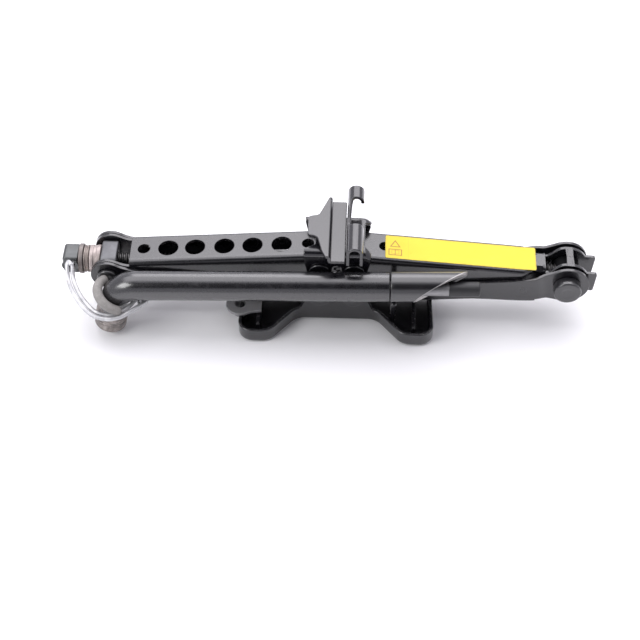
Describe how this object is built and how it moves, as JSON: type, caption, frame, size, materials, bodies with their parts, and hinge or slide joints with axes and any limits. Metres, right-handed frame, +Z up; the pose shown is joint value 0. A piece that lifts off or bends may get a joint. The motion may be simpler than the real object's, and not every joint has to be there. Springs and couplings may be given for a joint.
{
  "type": "scissor jack",
  "caption": "Folded screw scissor jack with a splayed tray base, geared channel arms and a slotted load head, its cranked wheel wrench and swing-out drive hook stored alongside.",
  "frame": {"origin": "on the ground plane, at the middle of the tray's underside", "axes": "+X along the lead screw away from the drive head, +Y across the jack away from the stored wrench, +Z up"},
  "size_m": [0.4096, 0.1014, 0.0934],
  "materials": {
    "black_ecoat": "gloss black dip paint on pressed steel",
    "pin_black": "gloss black paint on forged pins",
    "satin_black": "satin black paint",
    "worn_black": "black paint worn to grey",
    "rod_black": "matte black",
    "dark_steel": "dark oiled steel",
    "rusty_zinc": "zinc plate with a rust tint",
    "pink_zinc": "dull coppery zinc plate",
    "bright_zinc": "bright zinc plate",
    "band_grey": "grainy grey sleeve on a sprung band",
    "yellow_sticker": "printed vinyl, wording left out"
  },
  "bodies": {
    "base": {"base_tray": "black_ecoat", "base_rib_left": "black_ecoat", "base_rib_right": "black_ecoat", "strap_tab": "black_ecoat", "wrench_cradle": "black_ecoat", "base_pin_left": "pin_black", "base_pin_right": "pin_black"},
    "lower_left": {"lower_left_arm": "black_ecoat"},
    "thrust_block": {"thrust_trunnion": "dark_steel", "thrust_cap_front": "pin_black", "thrust_cap_back": "pin_black", "thrust_collar": "pink_zinc"},
    "screw": {"lead_screw": "dark_steel", "drive_head": "dark_steel", "washer_outer": "rusty_zinc", "thrust_ring": "rusty_zinc"},
    "upper_left": {"upper_left_arm": "black_ecoat"},
    "load_head": {"load_head_deck": "black_ecoat", "sill_saddle": "black_ecoat", "sill_ridge": "black_ecoat", "head_pin_left": "pin_black", "head_pin_right": "pin_black"},
    "lower_right": {"lower_right_arm": "black_ecoat"},
    "nut": {"nut_trunnion": "dark_steel", "nut_cap_front": "pin_black", "nut_cap_back": "pin_black"},
    "upper_right": {"upper_right_arm": "black_ecoat", "warning_sticker": "yellow_sticker"},
    "wrench": {"wrench_bar": "satin_black", "wrench_socket": "worn_black", "pry_sleeve": "satin_black", "pry_rod": "rod_black", "bend_band": "band_grey", "hook_pin": "bright_zinc"},
    "hook": {"drive_hook": "bright_zinc"}
  },
  "joints": [
    {"name": "left_fold", "type": "hinge", "parent": "base", "child": "lower_left", "pos_m": [-0.013, 0, 0.0258], "axis": [0, 1, 0], "range_deg": [0, 55]},
    {"name": "thrust_level", "type": "hinge", "parent": "lower_left", "child": "thrust_block", "pos_m": [-0.17558, 0, 0.04002], "axis": [0, 1, 0], "range_deg": [-55, 0]},
    {"name": "upper_left_fold", "type": "hinge", "parent": "lower_left", "child": "upper_left", "pos_m": [-0.17558, 0, 0.04002], "axis": [0, 1, 0], "range_deg": [-110, 0]},
    {"name": "head_level", "type": "hinge", "parent": "upper_left", "child": "load_head", "pos_m": [-0.013, 0, 0.05425], "axis": [0, 1, 0], "range_deg": [0, 55]},
    {"name": "right_fold", "type": "hinge", "parent": "base", "child": "lower_right", "pos_m": [0.013, 0, 0.0258], "axis": [0, 1, 0], "range_deg": [-55, 0]},
    {"name": "nut_level", "type": "hinge", "parent": "lower_right", "child": "nut", "pos_m": [0.17558, 0, 0.04002], "axis": [0, 1, 0], "range_deg": [0, 55]},
    {"name": "upper_right_fold", "type": "hinge", "parent": "lower_right", "child": "upper_right", "pos_m": [0.17558, 0, 0.04002], "axis": [0, 1, 0], "range_deg": [0, 110]},
    {"name": "screw_spin", "type": "hinge", "parent": "thrust_block", "child": "screw", "pos_m": [-0.17558, 0, 0.04002], "axis": [1, 0, 0], "continuous": true},
    {"name": "wrench_lift", "type": "slide", "parent": "base", "child": "wrench", "axis": [0, -0.8, 0.6], "range_m": [0, 0.15]},
    {"name": "hook_swing", "type": "hinge", "parent": "wrench", "child": "hook", "pos_m": [-0.148, -0.0366, 0.0344], "axis": [0, 0, 1], "range_deg": [0, 90]}
  ],
  "couplings": [
    {"joint": "thrust_level", "follows": "left_fold", "ratio": -1},
    {"joint": "upper_left_fold", "follows": "left_fold", "ratio": -2},
    {"joint": "head_level", "follows": "left_fold", "ratio": 1},
    {"joint": "right_fold", "follows": "left_fold", "ratio": -1},
    {"joint": "nut_level", "follows": "left_fold", "ratio": 1},
    {"joint": "upper_right_fold", "follows": "left_fold", "ratio": 2}
  ]
}
